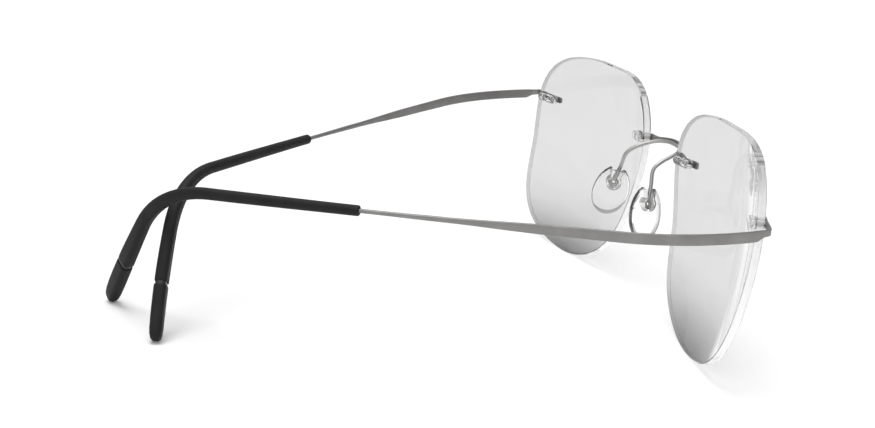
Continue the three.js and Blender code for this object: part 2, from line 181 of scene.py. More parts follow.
BOX_THROAT = 1.05
BOX_MOUTH = 1.5
BOX_FLARE = 2.1
BOX_MOUTH_HEIGHT = 3.0
BOX_FLOOR = -0.78
BOX_TOP = 1.0
BOX_BEVEL = 0.1
SOCKET_GAP = 0.05

UP = Vector((0, 0, 1))
SHARP_DEGREES = 35.0  # faces that meet at a wider angle than this show a sharp edge

# Camera, light and floor, in metres, radians and watts, with the camera's lens in millimetres
CAMERA_PLACE = FRONT + Vector((-0.33367, 0.14853, 0.11310))
CAMERA_YAW = math.radians(16.6)
CAMERA_PITCH = math.radians(14.989)
CAMERA_ROLL = math.radians(3.1826)
CAMERA_LENS = 70.66
KEY_LIGHT = {"place": (0.3, 0.4, 4.0), "size": 2.4, "power": 88}
FILL_LIGHT = {"place": (-1.3, 0.9, 1.1), "size": 1.6, "power": 6}
WORLD_STRENGTH = 0.66
FLOOR_HALF = 6.0
FLOOR_GAP = 0.00002


# --- Camera, light and floor ---

def aim_camera():
    camera = bpy.data.objects.new("camera", bpy.data.cameras.new("camera"))
    bpy.context.scene.collection.objects.link(camera)
    forward = Vector((
        math.cos(CAMERA_PITCH) * math.cos(CAMERA_YAW),
        -math.cos(CAMERA_PITCH) * math.sin(CAMERA_YAW),
        -math.sin(CAMERA_PITCH),
    ))
    level = forward.cross(UP).normalized()
    above = level.cross(forward)
    right = level * math.cos(CAMERA_ROLL) + above * math.sin(CAMERA_ROLL)
    top = above * math.cos(CAMERA_ROLL) - level * math.sin(CAMERA_ROLL)
    turn = Matrix((right, top, -forward)).transposed().to_4x4()
    camera.matrix_world = Matrix.Translation(CAMERA_PLACE) @ turn
    camera.data.sensor_width = 36
    camera.data.lens = CAMERA_LENS
    camera.data.clip_start = 0.01
    camera.data.clip_end = 50
    bpy.context.scene.camera = camera


def area_light(name, place, size, power):
    """A round lamp that points at the middle of the floor."""
    data = bpy.data.lights.new(name, "AREA")
    data.shape = "DISK"
    data.size = size
    data.energy = power
    light = bpy.data.objects.new(name, data)
    bpy.context.scene.collection.objects.link(light)
    light.location = place
    light.rotation_euler = (-Vector(place)).to_track_quat("-Z", "Y").to_euler()


def light_world():
    """A pale surrounding, a little darker near the horizon and below it."""
    world = bpy.data.worlds.new("studio")
    bpy.context.scene.world = world
    world.use_nodes = True
    tree = world.node_tree
    tree.nodes.clear()
    output = tree.nodes.new("ShaderNodeOutputWorld")
    background = tree.nodes.new("ShaderNodeBackground")
    background.inputs["Strength"].default_value = WORLD_STRENGTH
    sky = tree.nodes.new("ShaderNodeValToRGB")
    low, high = sky.color_ramp.elements
    low.position = 0.46
    low.color = (0.62, 0.62, 0.62, 1)
    high.position = 0.75
    high.color = (1, 1, 1, 1)
    coordinates = tree.nodes.new("ShaderNodeTexCoord")
    split = tree.nodes.new("ShaderNodeSeparateXYZ")
    half = tree.nodes.new("ShaderNodeMath")
    half.operation = "MULTIPLY_ADD"
    half.inputs[1].default_value = 0.5
    half.inputs[2].default_value = 0.5
    tree.links.new(coordinates.outputs["Generated"], split.inputs[0])
    tree.links.new(split.outputs["Z"], half.inputs[0])
    tree.links.new(half.outputs[0], sky.inputs[0])
    tree.links.new(sky.outputs[0], background.inputs["Color"])
    tree.links.new(background.outputs[0], output.inputs["Surface"])


def lay_floor():
    mesh = bpy.data.meshes.new("floor")
    corners = [(x * FLOOR_HALF, y * FLOOR_HALF, 0) for x, y in ((-1, -1), (1, -1), (1, 1), (-1, 1))]
    mesh.from_pydata(corners, [], [(0, 1, 2, 3)])
    floor = bpy.data.objects.new("floor", mesh)
    bpy.context.scene.collection.objects.link(floor)
    floor.location.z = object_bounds()[0][2] - FLOOR_GAP
    material, shader = new_material("floor")
    shader.inputs["Base Color"].default_value = (0.93, 0.93, 0.93, 1)
    shader.inputs["Roughness"].default_value = 0.8
    shader.inputs["Specular IOR Level"].default_value = 0.1
    mesh.materials.append(material)


# --- Materials ---

def new_material(name):
    material = bpy.data.materials.new(name)
    material.use_nodes = True
    return material, material.node_tree.nodes["Principled BSDF"]


def add_node(material, kind, **values):
    node = material.node_tree.nodes.new(kind)
    for name, value in values.items():
        if hasattr(node, name):
            setattr(node, name, value)
        else:
            node.inputs[name.replace("_", " ")].default_value = value
    return node


def link(material, output, socket):
    material.node_tree.links.new(output, socket)


def object_point(material, scale=(1, 1, 1)):
    coordinates = add_node(material, "ShaderNodeTexCoord")
    mapping = add_node(material, "ShaderNodeMapping")
    mapping.inputs["Scale"].default_value = scale
    link(material, coordinates.outputs["Object"], mapping.inputs["Vector"])
    return mapping.outputs["Vector"]


def noise(material, point, scale, detail=3.0):
    node = add_node(material, "ShaderNodeTexNoise", Scale=scale, Detail=detail)
    link(material, point, node.inputs["Vector"])
    return node.outputs["Fac"]


def ramp(material, value, *stops):
    node = add_node(material, "ShaderNodeValToRGB")
    elements = node.color_ramp.elements
    while len(elements) < len(stops):
        elements.new(0.5)
    for element, (position, colour) in zip(elements, stops):
        element.position = position
        element.color = (*colour, 1) if len(colour) == 3 else colour
    link(material, value, node.inputs["Fac"])
    return node.outputs["Color"]


def grey(value):
    return (value, value, value)


def mottled(material, value, low, high):
    """A grey that wanders between low and high with the value."""
    return ramp(material, value, (0.3, grey(low)), (0.7, grey(high)))


def surface(material):
    return material.node_tree.nodes["Material Output"].inputs["Surface"]


def mix_shaders(material, share, first, second):
    """A mix of two shaders. Share is a number or another node's output."""
    mix = add_node(material, "ShaderNodeMixShader")
    if isinstance(share, float):
        mix.inputs[0].default_value = share
    else:
        link(material, share, mix.inputs[0])
    link(material, first.outputs[0], mix.inputs[1])
    link(material, second.outputs[0], mix.inputs[2])
    return mix


def bump(material, shader, value, distance, strength):
    node = add_node(material, "ShaderNodeBump", Strength=strength, Distance=distance)
    link(material, value, node.inputs["Height"])
    link(material, node.outputs["Normal"], shader.inputs["Normal"])


def warm(shade):
    """A grey of that shade with a touch of red."""
    return (shade * 1.015, shade, shade * 0.985)


def titanium_material(name, lift):
    """Brushed titanium, with that lift of painted light added to its tone."""
    material, shader = new_material(name)
    shader.inputs["Metallic"].default_value = 1.0
    point = object_point(material)
    cloud = noise(material, point, 260.0, 4.0)
    tone = ramp(material, cloud, (0.3, warm(0.225 + lift)), (0.7, warm(0.265 + lift)))
    link(material, tone, shader.inputs["Base Color"])
    grain = noise(material, object_point(material, (1, 1, 6)), 4200.0, 2.0)
    link(material, mottled(material, grain, 0.36, 0.46), shader.inputs["Roughness"])
    bump(material, shader, grain, 0.00002, 0.12)
    return material


def rubber_material():
    material, shader = new_material("black_rubber")
    point = object_point(material)
    cloud = noise(material, point, 300.0, 4.0)
    link(material, mottled(material, cloud, 0.009, 0.014), shader.inputs["Base Color"])
    grain = noise(material, point, 5200.0, 3.0)
    link(material, mottled(material, grain, 0.5, 0.62), shader.inputs["Roughness"])
    bump(material, shader, grain, 0.00003, 0.25)
    shader.inputs["Specular IOR Level"].default_value = 0.2
    return material


def gloss_material():
    material, shader = new_material("black_gloss")
    point = object_point(material)
    cloud = noise(material, point, 500.0, 2.0)
    link(material, mottled(material, cloud, 0.006, 0.01), shader.inputs["Base Color"])
    link(material, mottled(material, cloud, 0.14, 0.2), shader.inputs["Roughness"])
    return material


def let_lamps_through(material, shader, shade):
    """Lamps shine through this glass, so that its shadow is a pale one of that shade."""
    path = add_node(material, "ShaderNodeLightPath")
    clear = add_node(material, "ShaderNodeBsdfTransparent")
    clear.inputs["Color"].default_value = (shade, shade, shade, 1)
    mix = mix_shaders(material, path.outputs["Is Shadow Ray"], shader, clear)
    link(material, mix.outputs[0], surface(material))


def clear_material(name, tint, painted_rim_share, ior, rough, waviness):
    """A clear plastic or silicone, with that share of painted black shade where its surface turns away,
    which stands in for the dark outline that refraction gives.
    """
    material, shader = new_material(name)
    shader.inputs["Transmission Weight"].default_value = 1.0
    shader.inputs["IOR"].default_value = ior
    point = object_point(material)
    cloud = noise(material, point, 220.0, 2.0)
    link(material, mottled(material, cloud, *tint), shader.inputs["Base Color"])
    link(material, mottled(material, cloud, *rough), shader.inputs["Roughness"])
    bump(material, shader, noise(material, point, 900.0, 1.0), 0.00002, waviness)
    # Painted shade: a dark shader mixed in where the surface turns away
    edge = add_node(material, "ShaderNodeBsdfPrincipled")
    link(material, mottled(material, cloud, 0.04, 0.07), edge.inputs["Base Color"])
    edge.inputs["Roughness"].default_value = 0.2
    weight = add_node(material, "ShaderNodeLayerWeight")
    rim = ramp(material, weight.outputs["Facing"], (0.4, grey(0.0)), (0.8, grey(painted_rim_share)))
    let_lamps_through(material, mix_shaders(material, rim, shader, edge), 0.85)
    return material


def coated_glass(name, tint):
    """Glass with a coating, which mirrors little until it is seen at a glance. Tint gives its colour."""
    material, plain = new_material(name)
    material.node_tree.nodes.remove(plain)
    bend = add_node(material, "ShaderNodeBsdfRefraction", IOR=LENS_IOR)
    mirror_shader = add_node(material, "ShaderNodeBsdfGlossy")
    mirror_shader.inputs["Color"].default_value = (1, 1, 1, 1)
    fine = noise(material, object_point(material), 120.0, 1.0)
    link(material, tint(material, fine), bend.inputs["Color"])
    rough = mottled(material, fine, 0.0, 0.015)
    link(material, rough, bend.inputs["Roughness"])
    link(material, rough, mirror_shader.inputs["Roughness"])
    fresnel = add_node(material, "ShaderNodeFresnel", IOR=LENS_IOR)
    coating = ramp(
        material,
        fresnel.outputs[0],
        (0.0, grey(0.0)),
        (0.30, grey(0.07)),
        (0.37, grey(0.7)),
        (0.9, grey(1.0)),
    )
    let_lamps_through(material, mix_shaders(material, coating, bend, mirror_shader), GLASS_SHADE)
    return material


def lens_level(material, share, drift):
    """How high up a lens a spot is, from 0 to 1, with that share of the drift added."""
    coordinates = add_node(material, "ShaderNodeTexCoord")
    split = add_node(material, "ShaderNodeSeparateXYZ")
    link(material, coordinates.outputs["Object"], split.inputs[0])
    height = add_node(material, "ShaderNodeMapRange")
    height.inputs["From Min"].default_value = 0.0
    height.inputs["From Max"].default_value = LENS_TOP
    link(material, split.outputs["Z"], height.inputs["Value"])
    shift = add_node(material, "ShaderNodeMath", operation="MULTIPLY_ADD")
    shift.inputs[1].default_value = share
    link(material, drift, shift.inputs[0])
    link(material, height.outputs[0], shift.inputs[2])
    return shift.outputs[0]


def clear_tint(material, fine):
    return mottled(material, fine, 0.98, 1.0)


def tint_with_painted_shadow(material, _):
    """The grey of the lens, with a painted shadow that makes it darkest at the bottom."""
    return ramp(
        material,
        lens_level(material, 0.06, noise(material, object_point(material), 14.0, 1.0)),
        (0.03, grey(0.25)),
        (0.12, grey(0.46)),
        (0.24, grey(0.65)),
        (0.36, grey(0.71)),
        (1.0, grey(0.70)),
    )


def edge_with_painted_shade(name, painted_top_shade, side_shade, share):
    """A lens's ground edge, of which that share is opaque, in one tone lower down and a painted shade at
    the top that stands in for a dark reflection.
    """
    material, shader = new_material(name)
    fine = noise(material, object_point(material), 1400.0, 2.0)
    level = lens_level(material, 0.05, fine)
    # Painted shade: the top of the edge takes a darker tone in place of a dark reflection
    tone = ramp(material, level, (0.74, grey(side_shade)), (1.0, grey(painted_top_shade)))
    link(material, tone, shader.inputs["Base Color"])
    link(material, mottled(material, fine, 0.12, 0.2), shader.inputs["Roughness"])
    clear = add_node(material, "ShaderNodeBsdfTransparent")
    link(material, mix_shaders(material, share, clear, shader).outputs[0], surface(material))
    return material


# --- Mesh tools ---

def graded(stops, position):
    """The value at position, stepping smoothly through pairs of (position, value)."""
    if position <= stops[0][0]:
        return stops[0][1]
    for (low_at, low), (high_at, high) in zip(stops, stops[1:]):
        if position <= high_at:
            share = (position - low_at) / (high_at - low_at)
            share = share * share * (3 - 2 * share)
            return low + (high - low) * share
    return stops[-1][1]


def catmull_rom(points, steps):
    """Points along a smooth curve through the given ones, evenly spaced, and the curve's length."""
    fineness = 40
    ends = [points[0] * 2 - points[1], *points, points[-1] * 2 - points[-2]]
    fine = []
    for a, b, c, d in zip(ends, ends[1:], ends[2:], ends[3:]):
        t0 = 0.0
        t1 = t0 + math.sqrt((b - a).length)
        t2 = t1 + math.sqrt((c - b).length)
        t3 = t2 + math.sqrt((d - c).length)
        for step in range(fineness):
            t = t1 + (t2 - t1) * step / fineness
            a1 = a * ((t1 - t) / (t1 - t0)) + b * ((t - t0) / (t1 - t0))
            a2 = b * ((t2 - t) / (t2 - t1)) + c * ((t - t1) / (t2 - t1))
            a3 = c * ((t3 - t) / (t3 - t2)) + d * ((t - t2) / (t3 - t2))
            b1 = a1 * ((t2 - t) / (t2 - t0)) + a2 * ((t - t0) / (t2 - t0))
            b2 = a2 * ((t3 - t) / (t3 - t1)) + a3 * ((t - t1) / (t3 - t1))
            fine.append(b1 * ((t2 - t) / (t2 - t1)) + b2 * ((t - t1) / (t2 - t1)))
    fine.append(points[-1].copy())
    reach = [0.0]
    for before, after in zip(fine, fine[1:]):
        reach.append(reach[-1] + (after - before).length)
    placed = []
    index = 0
    for step in range(steps + 1):
        want = reach[-1] * step / steps
        while index < len(reach) - 2 and reach[index + 1] < want:
            index += 1
        share = (want - reach[index]) / (reach[index + 1] - reach[index])
        placed.append(fine[index].lerp(fine[index + 1], share))
    return placed, reach[-1]


def spots_through(points, steps):
    """Spots (distance, place, direction) along the curve through the points."""
    placed, length = catmull_rom(points, steps)
    spots = []
    for index, place in enumerate(placed):
        before = placed[max(index - 1, 0)]
        after = placed[min(index + 1, steps)]
        spots.append((length * index / steps, place, (after - before).normalized()))
    return spots, length


def rounded_outline(width, height, radius, corner_steps=5):
    """Points round a rectangle with round corners, which is a circle when radius is half of both sides."""
    radius = min(radius, width / 2, height / 2)
    points = []
    for quarter in range(4):
        sign_x = 1 if quarter in (0, 3) else -1
        sign_y = 1 if quarter in (0, 1) else -1
        for step in range(corner_steps + 1):
            angle = math.pi / 2 * (quarter + (step + 0.001) / (corner_steps + 0.002))
            x = sign_x * (width / 2 - radius) + radius * math.cos(angle)
            y = sign_y * (height / 2 - radius) + radius * math.sin(angle)
            points.append((x, y))
    return points


def place_outline(outline, place, along, up, lift=0.0):
    across = up.cross(along).normalized()
    true_up = along.cross(across).normalized()
    return [place + across * x + true_up * (y + lift) for x, y in outline]


def loft(rings, closed=False):
    """Vertices and faces of a skin over rings of points, with flat ends unless it closes on itself."""
    count = len(rings[0])
    points = [point for ring in rings for point in ring]
    faces = []
    spans = len(rings) if closed else len(rings) - 1
    for ring in range(spans):
        here = ring * count
        there = (ring + 1) % len(rings) * count
        for side in range(count):
            following = (side + 1) % count
            faces.append((here + side, here + following, there + following, there + side))
    if not closed:
        faces.append(tuple(reversed(range(count))))
        last = (len(rings) - 1) * count
        faces.append(tuple(range(last, last + count)))
    return points, faces


def mirror(points):
    return [Vector((-point.x, point.y, point.z)) for point in points]


def build(name, side, points, faces, material, sharp_degrees=SHARP_DEGREES):
    """A mesh object from points of the left side in millimetres, mirrored when side is -1."""
    points = points if side > 0 else mirror(points)
    mesh = bpy.data.meshes.new(name)
    mesh.from_pydata([FRONT + point * MM for point in points], [], faces)
    shape = bmesh.new()
    shape.from_mesh(mesh)
    bmesh.ops.remove_doubles(shape, verts=shape.verts, dist=1e-7)
    bmesh.ops.recalc_face_normals(shape, faces=shape.faces)
    smooth_by_angle(shape, sharp_degrees)
    shape.to_mesh(mesh)
    shape.free()
    item = bpy.data.objects.new(name, mesh)
    bpy.context.scene.collection.objects.link(item)
    mesh.materials.append(material)
    return item


def smooth_by_angle(shape, sharp_degrees):
    limit = math.radians(sharp_degrees)
    for face in shape.faces:
        face.smooth = True
    for edge in shape.edges:
        if len(edge.link_faces) == 2:
            edge.smooth = edge.calc_face_angle(0.0) < limit


def boolean(item, others, operation):
    """Joins or cuts item with the others and removes them."""
    for other in others:
        modifier = item.modifiers.new("boolean", "BOOLEAN")
        modifier.operation = operation
        modifier.solver = "EXACT"
        modifier.object = other
    graph = bpy.context.evaluated_depsgraph_get()
    mesh = bpy.data.meshes.new_from_object(item.evaluated_get(graph))
    item.modifiers.clear()
    item.data = mesh
    for other in others:
        bpy.data.objects.remove(other)
    shape = bmesh.new()
    shape.from_mesh(mesh)
    smooth_by_angle(shape, SHARP_DEGREES)
    shape.to_mesh(mesh)
    shape.free()


def bevel(item, width, segments):
    """Rounds the sharp edges of item and bakes the result into its mesh."""
    modifier = item.modifiers.new("bevel", "BEVEL")
    modifier.width = width * MM
    modifier.segments = segments
    modifier.limit_method = "ANGLE"
    modifier.angle_limit = math.radians(30)
    modifier.harden_normals = False
    graph = bpy.context.evaluated_depsgraph_get()
    mesh = bpy.data.meshes.new_from_object(item.evaluated_get(graph))
    item.modifiers.clear()
    item.data = mesh


# --- Lens ---

LENS_FRAME = (
    Matrix.Translation((LENS_SPACING / 2, 0, LENS_CENTRE_HEIGHT))
    @ Matrix.Rotation(LENS_TILT, 4, "X")
    @ Matrix.Rotation(LENS_WRAP, 4, "Z")
)


def lens_radius(angle):
    waves = sum(
        height * math.cos(count * (angle - math.radians(crest)))
        for count, height, crest in LENS_WAVES
    )
    return LENS_MEAN_RADIUS + waves


def lens_sag(u, w):
    return (u * u + w * w) / (2 * LENS_SURFACE_RADIUS)


def lens_ring(inset, fraction, offset):
    ring = []
    for side in range(LENS_SIDES):
        angle = side / LENS_SIDES * math.tau
        radius = (lens_radius(angle) - inset) * fraction
        u, w = radius * math.cos(angle), radius * math.sin(angle)
        ring.append(LENS_FRAME @ Vector((u, lens_sag(u, w) - offset, w)))
    return ring


def seat_frame(seat):
    u, w = seat
    back = Vector((-u, LENS_SURFACE_RADIUS, -w)).normalized()
    along = Vector((LENS_SURFACE_RADIUS, u, 0)).normalized()
    up = along.cross(back).normalized()
    along = back.cross(up)
    turn = Matrix((along, back, up)).transposed().to_4x4()
    return LENS_FRAME @ Matrix.Translation((u, lens_sag(u, w), w)) @ turn


def seat_direction(seat, direction):
    return (seat_frame(seat).to_3x3() @ Vector(direction)).normalized()


def pin(name, seat, offset, radius, low, high, side, material):
    """A round pin along the seat's normal, from low to high measured back from the lens."""
    sides = 32
    rings = []
    for depth in (low, high):
        rings.append([
            seat_frame(seat) @ Vector((
                offset + radius * math.cos(turn / sides * math.tau),
                depth,
                -radius * math.sin(turn / sides * math.tau),
            ))
            for turn in range(sides)
        ])
    points, faces = loft(rings)
    return build(name, side, points, faces, material)


def seat_pins(name, seat, radius, low, high, side, material):
    """The two pins of that radius at a seat, where the lens's two holes are."""
    return [
        pin(f"{name}_{index}", seat, offset * HOLE_SPACING, radius, low, high, side, material)
        for index, offset in enumerate((-0.5, 0.5))
    ]


def make_lens(side, side_name, materials):
    steps = [index / LENS_RINGS for index in range(1, LENS_RINGS)]
    rings = [lens_ring(0, LENS_MIDDLE, 0)]
    rings += [lens_ring(0, step, 0) for step in steps]
    rings += [lens_ring(LENS_BEVEL, 1, 0), lens_ring(0, 1, LENS_BEVEL)]
    rings += [lens_ring(0, 1, LENS_THICKNESS - LENS_BEVEL), lens_ring(LENS_BEVEL, 1, LENS_THICKNESS)]
    rings += [lens_ring(0, step, LENS_THICKNESS) for step in reversed(steps)]
    rings.append(lens_ring(0, LENS_MIDDLE, LENS_THICKNESS))
    points, faces = loft(rings)
    lens = build(f"{side_name}_lens", side, points, faces, materials[FRONT_FACE], 20.0)
    for material in materials[1:]:
        lens.data.materials.append(material)
    behind = 1.2
    wall = materials[WALL]
    holes = [
        hole
        for seat, place in ((TEMPLE_SEAT, "outer"), (BRIDGE_SEAT, "inner"))
        for hole in seat_pins(f"{place}_hole", seat, HOLE_RADIUS, THROUGH_LENS, behind, side, wall)
    ]
    boolean(lens, holes, "DIFFERENCE")
    back = seat_direction((0, 0), (0, 1, 0))
    back = Vector((back.x * side, back.y, back.z))
    # The bevels take the rim material, whose dark grey is a painted dark outline
    for polygon in lens.data.polygons:
        facing = polygon.normal.dot(back)
        if abs(facing) <= EDGE_ON:
            polygon.material_index = WALL
        elif abs(facing) < SQUARE_ON:
            polygon.material_index = RIM
        else:
            polygon.material_index = BACK_FACE if facing > 0 else FRONT_FACE
    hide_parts(f"lens_{side_name}")
    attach(lens, "front")


# --- Bushings ---

def make_bushing(side, side_name, place, seat, material):
    name = f"{side_name}_{place}_bushing"
    radius = FLANGE_HEIGHT / 2
    outline = []
    for end in (1, -1):
        for step in range(FLANGE_ARC_STEPS + 1):
            angle = math.pi * (step / FLANGE_ARC_STEPS - 0.5 * end)
            x = end * (FLANGE_LENGTH / 2 - radius) + math.cos(angle) * radius
            outline.append((x, math.sin(angle) * radius))
    frame_here = seat_frame(seat)
    rings = []
    for depth in (FLANGE_GAP, FLANGE_GAP + FLANGE_DEPTH):
        rings.append([frame_here @ Vector((x, depth, z)) for x, z in outline])
    points, faces = loft(rings)
    flange = build(name, side, points, faces, material)
    bevel(flange, FLANGE_BEVEL, 3)
    low = -LENS_THICKNESS + 0.05
    barrels = seat_pins("barrel", seat, BARREL_RADIUS, low, FLANGE_GAP + BARREL_END, side, material)
    boolean(flange, barrels, "UNION")
    bores = seat_pins("bore", seat, BORE_RADIUS, THROUGH_LENS, FLANGE_GAP + PRONG_ENTRY, side, material)
    boolean(flange, bores, "DIFFERENCE")
    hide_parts(f"{place}_bushing_{side_name}")
    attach(flange, "front")


# --- Titanium strips ---

def seat_point(seat, along):
    return seat_frame(seat) @ Vector((along, STRIP_DEPTH, 0))


def blended_up(first, second, share):
    return first.lerp(second, min(max(share, 0), 1)).normalized()


def temple_spot(distance, side):
    """Place and direction of the temple's wire that far back from the flex point."""
    heading, dip = TEMPLE_HEADING, TEMPLE_DIP
    left = distance
    place = Vector((0, 0, 0))

    def aim():
        return Vector((
            -math.sin(heading) * math.cos(dip),
            math.cos(heading) * math.cos(dip),
            -math.sin(dip),
        ))

    steps = 24
    for length, turn, drop in TEMPLE_RUNS:
        part = min(left, length)
        share = part / length / steps
        for _ in range(steps):
            heading += math.radians(turn) * share / 2
            dip += math.radians(drop) * share / 2
            place += aim() * (part / steps)
            heading += math.radians(turn) * share / 2
            dip += math.radians(drop) * share / 2
        left -= part
        if left <= 0:
            break
    along = aim()
    swing = Matrix.Rotation(TEMPLE_SWING * side, 3, "Z")
    return FLEX_POINT + swing @ place, swing @ along


def temple_spots(start, end, steps, side):
    spots = []
    for step in range(steps + 1):
        distance = start + (end - start) * step / steps
        spots.append((distance, *temple_spot(distance, side)))
    return spots


def corner_points():
    """From the inner end of the tab on the lens to just before the flex point."""
    edge = seat_point(TEMPLE_SEAT, TAB_REACH + 0.6)
    to_edge = (edge - CORNER).normalized()
    to_flex = (FLEX_POINT - CORNER).normalized()
    return [
        seat_point(TEMPLE_SEAT, -TAB_REACH),
        seat_point(TEMPLE_SEAT, 0),
        edge,
        CORNER + to_edge * CORNER_BEND,
        CORNER + (to_edge + to_flex) * CORNER_BEND * 0.22,
        CORNER + to_flex * CORNER_BEND,
        FLEX_POINT - to_flex * 0.9,
    ]


def make_temple_strip(side, side_name, material):
    """The tab on the lens, the corner, the blade and the wire, all one strip of titanium."""
    join = 0.6
    spots, front_length = spots_through([*corner_points(), temple_spot(join, side)[0]], 70)
    tab_up = seat_direction(TEMPLE_SEAT, (0, 0, 1))
    corner_at = next(distance for distance, place, _ in spots if (place - CORNER).length < 0.45)
    neck_end, blade_start = corner_at + 1.4, corner_at + 3.4
    heights = (
        (0.0, 0.95),
        (0.35, 1.42),
        (3.4, 1.3),
        (corner_at - 0.8, NECK_HEIGHT),
        (neck_end, NECK_HEIGHT + 0.05),
        (blade_start, BLADE_HEIGHT),
    )
    lifts = ((2.0, 0.0), (corner_at - 1.0, NECK_LIFT), (neck_end, NECK_LIFT), (blade_start, 0.0))
    rings = []
    for distance, place, along in spots:
        up = blended_up(tab_up, UP, (distance - corner_at + 3) / 3)
        outline = rounded_outline(STRIP_THICKNESS, graded(heights, distance), STRIP_EDGE)
        rings.append(place_outline(outline, place, along, up, graded(lifts, distance)))
    widths = ((TAPER_START, STRIP_THICKNESS), (TAPER_END, WIRE_DIAMETER))
    edges = ((TAPER_START, STRIP_EDGE), (TAPER_END, WIRE_DIAMETER / 2))
    for distance, place, along in temple_spots(1.0, SLEEVE_START + 2.0, 110, side):
        reach = front_length + distance - join
        height = min(graded(heights, reach), graded(BLADE_TAPER, distance))
        outline = rounded_outline(graded(widths, distance), height, graded(edges, distance))
        rings.append(place_outline(outline, place, along, UP, graded(lifts, reach)))
    points, faces = loft(rings)
    strip = build(f"{side_name}_temple_strip", side, points, faces, material)
    prongs = seat_pins("prong", TEMPLE_SEAT, PRONG_RADIUS, STRIP_DEPTH, PRONG_TIP, side, material)
    boolean(strip, prongs, "UNION")
    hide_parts(f"temple_mount_{side_name}", f"temple_blade_{side_name}")
    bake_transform(strip)


def make_bridge(material):
    tab_up = seat_direction(BRIDGE_SEAT, (0, 0, 1))
    half = [
        seat_point(BRIDGE_SEAT, TAB_REACH + 0.3),
        seat_point(BRIDGE_SEAT, 0),
        seat_point(BRIDGE_SEAT, -TAB_REACH + 0.2),
        *BRIDGE_BAR,
    ]
    points = half + mirror(half[:-1])[::-1]
    spots, length = spots_through(points, 150)
    heights = (
        (0.0, 1.3),
        (0.3, 1.5),
        (1.6, 1.5),
        (3.0, 1.2),
        (4.3, 1.2),
        (6.3, BAR_WEDGE_HEIGHT),
        (9.2, BAR_HEIGHT),
    )
    lifts = ((4.3, 0.0), (6.3, 0.25), (9.2, 0.0))
    rings = []
    for distance, place, along in spots:
        near_end = min(distance, length - distance)
        up = tab_up if distance < length / 2 else Vector((-tab_up.x, tab_up.y, tab_up.z))
        up = blended_up(up, UP, (near_end - 5) / 5)
        outline = rounded_outline(STRIP_THICKNESS, graded(heights, near_end), STRIP_EDGE)
        rings.append(place_outline(outline, place, along, up, graded(lifts, near_end)))
    bar_points, faces = loft(rings)
    bar = build("bridge_bar", 1, bar_points, faces, material)
    prongs = [
        prong
        for side in (1, -1)
        for prong in seat_pins("prong", BRIDGE_SEAT, PRONG_RADIUS, STRIP_DEPTH, PRONG_TIP, side, material)
    ]
    boolean(bar, prongs, "UNION")
    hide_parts("bridge")
    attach(bar, "front")


# --- Nose pads ---

def pad_matrix():
    up = PAD_UP.normalized()
    back = up.cross(PAD_OUT).normalized()
    out = back.cross(up)
    return Matrix.Translation(PAD_CENTRE) @ Matrix((out, back, up)).transposed().to_4x4()


PAD_FRAME = pad_matrix()


def make_pad_wire(material):
    top = PAD_FRAME @ Vector((EYELET_OUT, 0, EYELET_ABOVE + EYELET_RING))
    half = [*PAD_WIRE, top]
    points = mirror(half[1:])[::-1] + half
    spots, _ = spots_through(points, 220)
    outline = rounded_outline(PAD_WIRE_DIAMETER, PAD_WIRE_DIAMETER, PAD_WIRE_DIAMETER / 2, 6)
    forward = Vector((0, -1, 0.35)).normalized()
    rings = [place_outline(outline, place, along, forward) for _, place, along in spots]
    wire_points, faces = loft(rings)
    wire = build("pad_wire_arch", 1, wire_points, faces, material)
    eyelets = [make_eyelet(side, material) for side in (1, -1)]
    boolean(wire, eyelets, "UNION")
    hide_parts("pad_wire")
    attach(wire, "front")


def make_eyelet(side, material):
    turns, steps = 40, 18
    rings = []
    for turn in range(turns):
        angle = turn / turns * math.tau
        ring = []
        for step in range(steps):
            round_wire = step / steps * math.tau
            radius = EYELET_RING + EYELET_WIRE * math.cos(round_wire)
            ring.append(PAD_FRAME @ Vector((
                EYELET_OUT + EYELET_WIRE * math.sin(round_wire),
                radius * math.cos(angle),
                EYELET_ABOVE + radius * math.sin(angle),
            )))
        rings.append(ring)
    points, faces = loft(rings, closed=True)
    return build(f"eyelet_{side}", side, points, faces, material)


def keyhole_outline(margin, reach):
    """The keyhole round the eyelet, open upwards, as points (y, z) from the eyelet."""
    radius = BOX_RADIUS + margin
    throat = BOX_THROAT + margin
    mouth = BOX_MOUTH + margin
    join = math.asin(throat / radius)
    points = []
    steps = 36
    for step in range(steps + 1):
        angle = math.pi / 2 + join + (math.tau - 2 * join) * step / steps
        points.append((radius * math.cos(angle), radius * math.sin(angle)))
    low = radius * math.cos(join)
    flare = []
    flare_steps = 10
    for step in range(1, flare_steps + 1):
        share = step / flare_steps
        first, middle, last = (1 - share) ** 2, 2 * share * (1 - share), share ** 2
        across = throat * (first + middle) + mouth * last
        height = low * first + BOX_FLARE * middle + BOX_MOUTH_HEIGHT * last
        flare.append((across, height))
    if reach > BOX_MOUTH_HEIGHT:
        flare.append((mouth, reach))
    points += flare
    points += [(-across, height) for across, height in reversed(flare)]
    return points


def keyhole_block(name, margin, reach, low, high, side, material):
    """A block with the keyhole's outline, from low to high measured out from the pad's middle."""
    outline = keyhole_outline(margin, reach)
    rings = [
        [PAD_FRAME @ Vector((depth, y, z + EYELET_ABOVE)) for y, z in outline]
        for depth in (low, high)
    ]
    points, faces = loft(rings)
    return build(name, side, points, faces, material)


def make_pad_box(side, side_name, material):
    box = keyhole_block(f"{side_name}_pad_box", 0, BOX_MOUTH_HEIGHT, BOX_FLOOR, BOX_TOP, side, material)
    bevel(box, BOX_BEVEL, 2)
    floor = BOX_FLOOR + BOX_WALL
    pocket = keyhole_block("pocket", -BOX_WALL, 4.4, floor, BOX_TOP + 1, side, material)
    boolean(box, [pocket], "DIFFERENCE")
    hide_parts(f"pad_box_{side_name}")
    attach(box, f"{side_name}_nose_pad")


